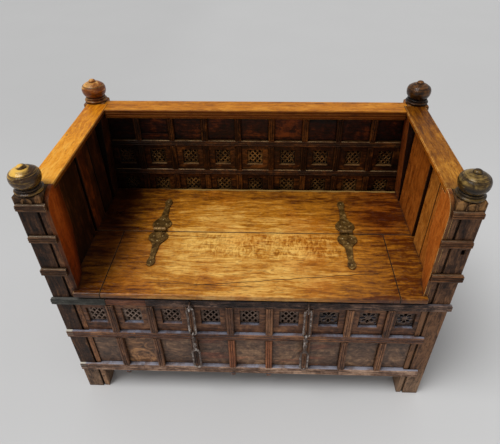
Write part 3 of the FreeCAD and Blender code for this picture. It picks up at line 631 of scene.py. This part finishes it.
panel_wood = wood("lower_panel_wood", (rgb(46, 31, 22), rgb(106, 78, 59), rgb(176, 136, 100)), "x",
                  FRONT, 0.25, figure=0.45, mottle=0.5, blotch=0.5, wear_and_highlight=0.2, gloss=0.34,
                  spec=0.3, extra=burl)
back_wood = wood("back_grid_wood", back_tones, "z", ((CELL_BACK, 0, 0.11), (0, 0, 0)), 0.35,
                 wear_and_highlight=0.6, mottle=0.9, spec=0.15, figure=1.2, wear_and_highlight_tone=rgb(120, 74, 30),
                 extra=corner_shade)
# the back's rails and window frames carry a painted highlight on their upper edges
back_rail_wood = wood("back_rail_wood", back_tones, "x", wear_and_highlight=0.3, mottle=0.9, dust_and_sheen=0.45,
                      spec=0.15, lit=1.0, lit_tone=rgb(250, 212, 152),
                      dust_and_sheen_tone=rgb(120, 84, 44), wear_and_highlight_tone=rgb(120, 74, 30), extra=corner_shade)
back_panel_wood = wood("back_panel_wood", (rgb(15, 5, 1), rgb(56, 20, 5), rgb(128, 62, 20)), "x",
                       BACK_TOP_ROW, 0.5, blotch=1.1, mottle=0.9, wear_and_highlight=0.3,
                       gloss=0.34, spec=0.15, extra=corner_shade)
back_frame_wood = wood("back_frame_wood", back_tones, "x", BACK, 0.3, wear_and_highlight=0.5, mottle=0.9,
                       spec=0.15, dust_and_sheen=0.7, dust_and_sheen_tone=rgb(170, 126, 72), lit=0.7,
                       lit_tone=rgb(216, 168, 104), wear_and_highlight_tone=rgb(120, 74, 30),
                       extra=corner_shade)
back_lattice_wood = wood("back_lattice_wood", (rgb(14, 7, 2), rgb(62, 36, 12), rgb(176, 126, 64)),
                         "x", BACK, 0.5, wear_and_highlight=1.2, corner_shade_and_dirt=0.6, spec=0.2, mottle=1.0,
                         wear_and_highlight_tone=rgb(214, 160, 90), extra=corner_shade)

# polished seat and arms; the arms' woods hold painted light and shade, with lit and shaded copies for
# the two sides
seat_tones = (rgb(86, 40, 6), rgb(190, 120, 28), rgb(252, 200, 104))
# a painted highlight on the lid's front edge (lit), and painted shade, cooler, on its front faces
seat_wood = wood("seat_wood", seat_tones, "x", ((0, 0.545, 0), (0, 0.5, 0)), 0.0, figure=0.75,
                 stretch=0.12, rings=20.0, mottle=0.30, gloss=0.30, spec=0.35, wear_and_highlight=0.45,
                 wear_and_highlight_tone=rgb(214, 166, 104), dents=0.6, blotch=0.65, lit=0.55,
                 lit_tone=rgb(255, 214, 140),
                 faces=((TO_FRONT, (0.80, 0.84, 1.12, 1.0)),), extra=seat_extra)
# its tones hold a painted highlight on top; its inner face, turned right, is darkened as painted
# shade
highlit_left_rail_wood = wood("highlit_left_arm_rail_wood", (rgb(180, 98, 14), rgb(240, 158, 34), rgb(255, 202, 96)),
                      "y", gloss=0.34, spec=0.15, wear_and_highlight=0.4, wear_and_highlight_tone=rgb(250, 204, 116), figure=0.8,
                      mottle=0.4, faces=((TO_RIGHT, (0.16, 0.10, 0.06, 1.0)),),
                      extra=along_y(0.10, -0.22))
# its inner face, turned left, is warmed as painted light
right_rail_wood = wood("right_arm_rail_wood", (rgb(78, 38, 6), rgb(148, 88, 14), rgb(206, 140, 46)),
                       "y", gloss=0.34, spec=0.12, wear_and_highlight=1.3, wear_and_highlight_tone=rgb(255, 200, 104),
                       figure=0.8, mottle=0.4, faces=((TO_LEFT, (1.15, 0.90, 0.75, 1.0)),),
                       extra=along_y(0.10, -0.26, (0.66, 0.66, 0.80, 1.0)))
# its front face is darkened as painted shade
back_top_wood = wood("back_top_rail_wood", (rgb(120, 62, 8), rgb(198, 120, 22), rgb(236, 164, 58)),
                     "x", gloss=0.36, spec=0.12, wear_and_highlight=0.4, wear_and_highlight_tone=rgb(236, 176, 86), figure=0.9,
                     mottle=0.4, faces=((TO_FRONT, (0.20, 0.13, 0.07, 1.0)),))
# a shaded copy: darker tones, and painted shade, cooler, on its front and shoulder faces
shaded_left_stile_wood = wood("left_arm_stile_wood", (rgb(70, 24, 4), rgb(134, 54, 11), rgb(176, 86, 28)),
                       "z", gloss=0.38, spec=0.15, wear_and_highlight=0.6, wear_and_highlight_tone=rgb(150, 104, 62), figure=0.6,
                       faces=((TO_FRONT, (0.50, 0.74, 1.4, 1.0)),
                              (SHOULDER, (0.80, 0.98, 1.4, 1.0))), extra=stile_shade)
# a lit copy: lighter tones as painted light, with painted shade on its front and shoulder faces
lit_right_stile_wood = wood("lit_right_arm_stile_wood", (rgb(104, 48, 12), rgb(186, 98, 30),
                                                 rgb(226, 142, 62)),
                        "z", gloss=0.38, wear_and_highlight=1.2, wear_and_highlight_tone=rgb(250, 196, 116), figure=0.7,
                        faces=((TO_FRONT, (0.34, 0.44, 0.75, 1.0)),
                               (SHOULDER, (0.50, 0.58, 0.70, 1.0))))
# a shaded copy: very dark tones as painted shade, and its front edges near black as painted shade
shaded_left_board_wood = wood("left_arm_board_wood", (rgb(14, 6, 1), rgb(42, 20, 7), rgb(96, 50, 18)), "z",
                       gloss=0.42, wear_and_highlight=0.2, figure=1.0, spec=0.15,
                       faces=((TO_FRONT, (0.15, 0.12, 0.10, 1.0)),), extra=red_board)
# a lit copy: lighter tones as painted light; its front edges are near black as painted shade
lit_right_board_wood = wood("lit_right_arm_board_wood", (rgb(84, 40, 10), rgb(172, 102, 32),
                                                 rgb(216, 144, 62)),
                        "z", gloss=0.38, wear_and_highlight=0.3, figure=0.9, mottle=0.7,
                        faces=((TO_FRONT, (0.06, 0.05, 0.04, 1.0)),), extra=two_colours)
# its front edges are near black as painted shade
right_rear_wood = wood("right_rear_stile_wood", (rgb(50, 22, 6), rgb(116, 54, 16), rgb(166, 92, 34)),
                       "z", gloss=0.38, wear_and_highlight=0.4, faces=((TO_FRONT, (0.06, 0.05, 0.04, 1.0)),))

# finials, each with a painted highlight on its dome
turned_wood = wood("turned_wood", (rgb(16, 9, 3), rgb(70, 45, 17), rgb(244, 192, 84)), "r",
                   gloss=0.20, spec=0.35, wear_and_highlight=0.4, wear_and_highlight_tone=rgb(150, 112, 54), blotch=0.4,
                   mottle=0.4, figure=0.6, corner_shade_and_dirt=0.4, extra=finial_highlight_and_shade(0.50, 0.66))
olive_turned_wood = wood("olive_turned_wood", (rgb(14, 9, 4), rgb(66, 48, 20), rgb(156, 126, 66)),
                         "r", gloss=0.26, spec=0.3, wear_and_highlight=0.4, wear_and_highlight_tone=rgb(140, 112, 66),
                         blotch=0.8, mottle=1.0, figure=0.8, corner_shade_and_dirt=0.4,
                         extra=finial_highlight_and_shade(0.18, 0.35))
brown_turned_wood = wood("brown_turned_wood", (rgb(10, 5, 2), rgb(46, 26, 9), rgb(130, 84, 38)),
                         "r", gloss=0.24, spec=0.3, wear_and_highlight=0.4, wear_and_highlight_tone=rgb(120, 80, 38),
                         blotch=0.5, mottle=0.6, figure=0.6, corner_shade_and_dirt=0.4,
                         extra=finial_highlight_and_shade(0.22, 0.5))
orange_turned_wood = wood("orange_turned_wood", (rgb(50, 22, 4), rgb(140, 74, 18),
                                                 rgb(244, 184, 100)), "r", gloss=0.26, spec=0.3,
                          wear_and_highlight=0.6, wear_and_highlight_tone=rgb(206, 150, 80), blotch=0.6, figure=0.8,
                          mottle=0.7, corner_shade_and_dirt=0.4, extra=finial_highlight_and_shade(0.35, 0.45))

# boards of the outer sides, the back and the inside
plain_wood = wood("plain_board_wood", (rgb(38, 24, 14), rgb(92, 60, 34), rgb(136, 96, 58)), "z",
                  ((0, 0.115, 0), (0, 0, 0)), 0.4, gloss=0.6, spec=0.25, wear_and_highlight=0.4, dust_and_sheen=0.2,
                  extra=inner_face_shade)
plain_wood_x = wood("plain_board_wood_x", (rgb(38, 24, 14), rgb(92, 60, 34), rgb(136, 96, 58)),
                    "x", ((0, 0, 0.1625), (0, 0, -0.64)), 0.4, gloss=0.6, spec=0.25, wear_and_highlight=0.4,
                    dust_and_sheen=0.2)

# iron
hinge_iron = iron("hinge_iron", (rgb(42, 28, 10), rgb(112, 80, 32), rgb(206, 164, 92)), 0.4, 0.5,
                  0.32)
hasp_iron = iron("hasp_iron", (rgb(34, 25, 20), rgb(92, 73, 62), rgb(246, 238, 230)), 0.3, 0.3,
                 0.32)
nail_iron = iron("nail_iron", (rgb(80, 62, 34), rgb(160, 132, 82), rgb(236, 208, 150)), 0.2)

# which look each node has
looks = {
    "front_post_left": post_wood, "front_post_right": post_wood,
    "rear_post_left": rear_post_wood, "rear_post_right": rear_post_wood,
    "finial_front_left": turned_wood, "finial_front_right": olive_turned_wood,
    "finial_rear_right": brown_turned_wood, "finial_rear_left": orange_turned_wood,
    "post_bands_left": band_wood, "post_bands_right": band_wood,
    "arm_rail_left": highlit_left_rail_wood, "arm_rail_right": right_rail_wood,
    "arm_front_stile_left": shaded_left_stile_wood, "arm_front_stile_right": lit_right_stile_wood,
    "arm_rear_stile_left": shaded_left_board_wood, "arm_rear_stile_right": right_rear_wood,
    "arm_inner_boards_left": shaded_left_board_wood, "arm_inner_boards_right": lit_right_board_wood,
    "back_top_rail": back_top_wood, "back_rails": back_rail_wood, "back_stiles": back_wood,
    "back_plain_panels": back_panel_wood, "back_window_frames": back_frame_wood,
    "back_lattice_panels": back_lattice_wood,
    "front_top_rail_left": grey_wood, "front_top_rail_patch": patch_wood,
    "front_top_rail_long": long_rail_wood, "front_mid_rail": rail_wood,
    "front_base_rail": base_rail_wood, "front_upper_stiles": stile_wood,
    "front_lower_stiles": stile_wood, "front_lower_stiles_pale": pale_stile_wood,
    "front_tenon_ends": rail_wood, "front_window_frames": frame_wood,
    "front_lattice_diamond": lattice_wood, "front_lattice_flower": lattice_wood,
    "front_lower_panels": panel_wood, "front_seat_bearer": plain_wood_x,
    "side_boards_left": plain_wood, "side_boards_right": plain_wood,
    "side_battens": plain_wood, "rear_boards": plain_wood_x, "seat_bearers": plain_wood_x,
    "base_bearers": plain_wood_x, "chest_floor_boards": plain_wood_x,
    "seat_rear_board": seat_wood, "seat_side_board_left": seat_wood,
    "seat_side_board_right": seat_wood, "seat_lid": seat_wood,
    "hinge_rear_leaves": hinge_iron, "hinge_front_leaves": hinge_iron, "hinge_pins": hinge_iron,
    "nails_fixed": nail_iron, "nails_lid": nail_iron, "hasp_staples": hasp_iron,
    "hasp_upper_link_left": hasp_iron, "hasp_upper_link_right": hasp_iron,
    "hasp_lower_link_left": hasp_iron, "hasp_lower_link_right": hasp_iron,
}
for name, obj in nodes.items():
    obj.data.materials.clear()
    obj.data.materials.append(looks[name])
    for face in obj.data.polygons:
        face.material_index = 0

# a plain floor, faintly cloudy, that keeps an even tone from front to back
floor_half = 30.0
floor_gap = 0.0005
corners = [(-floor_half, -floor_half, 0), (floor_half, -floor_half, 0),
           (floor_half, floor_half, 0), (-floor_half, floor_half, 0)]
floor_mesh = bpy.data.meshes.new("floor")
floor_mesh.from_pydata(corners, [], [(0, 1, 2, 3)])
floor = bpy.data.objects.new("floor", floor_mesh)
floor.location.z = -floor_gap
bpy.context.scene.collection.objects.link(floor)
t = Tree("floor_paint")
x, y, z = t.xyz(t.co)
even = t.math("ADD", t.span(y, -0.6, 2.2, 0.04, -0.045), t.span(x, -0.4, -1.2, 0.0, -0.03))
pale = t.math("ADD", t.math("MULTIPLY_ADD", t.noise(t.co, 1.5, 2.0), 0.025, 0.5975), even)
t.put(t.bsdf.inputs["Base Color"], t.join(pale, pale, pale))
t.bsdf.inputs["Roughness"].default_value = 0.9
t.bsdf.inputs["Specular IOR Level"].default_value = 0.1
floor_mesh.materials.append(t.mat)

# soft white surroundings and one large soft lamp from above, front left
world = bpy.data.worlds.new("studio")
world.use_nodes = True
back = world.node_tree.nodes["Background"]
back.inputs["Color"].default_value = (1.0, 1.0, 1.0, 1.0)
back.inputs["Strength"].default_value = 0.42
bpy.context.scene.world = world

lamp_place = Vector((-1.7, -1.0, 4.4))
lamp_target = Vector((0.0, 0.0, 0.4))
lamp_data = bpy.data.lights.new("key", "SUN")
lamp_data.energy = 1.9
lamp_data.angle = math.radians(30)
lamp = bpy.data.objects.new("key", lamp_data)
lamp.location = lamp_place
lamp.rotation_euler = (lamp_target - lamp_place).to_track_quat("-Z", "Y").to_euler()
bpy.context.scene.collection.objects.link(lamp)

# the camera that was fitted to the photograph; angles in radians, picture sizes in pixels
picture_width, picture_height = 500.0, 444.0
focal_length = 455.935
centre_x, centre_y = 257.572, 223.795
sensor_width = 36.0
camera_place = (0.05697, -1.12388, 1.39268)
yaw, pitch, roll = -0.0370228, 0.67502545, -0.00905596

forward = Vector((math.sin(yaw) * math.cos(pitch), math.cos(yaw) * math.cos(pitch),
                  -math.sin(pitch)))
level_right = Vector((math.cos(yaw), -math.sin(yaw), 0.0))
level_up = level_right.cross(forward)
across = level_right * math.cos(roll) + level_up * math.sin(roll)
upward = level_up * math.cos(roll) - level_right * math.sin(roll)
cam_data = bpy.data.cameras.new("camera")
cam_data.sensor_fit = "HORIZONTAL"
cam_data.sensor_width = sensor_width
cam_data.lens = sensor_width * focal_length / picture_width
cam_data.shift_x = (picture_width / 2.0 - centre_x) / picture_width
cam_data.shift_y = (centre_y - picture_height / 2.0) / picture_width
cam_data.clip_start = 0.05
cam_data.clip_end = 100.0
cam = bpy.data.objects.new("camera", cam_data)
turn = Matrix((across, upward, -forward)).transposed().to_4x4()
cam.matrix_world = Matrix.Translation(camera_place) @ turn
bpy.context.scene.collection.objects.link(cam)
bpy.context.scene.camera = cam
bpy.context.scene.view_settings.view_transform = "Standard"
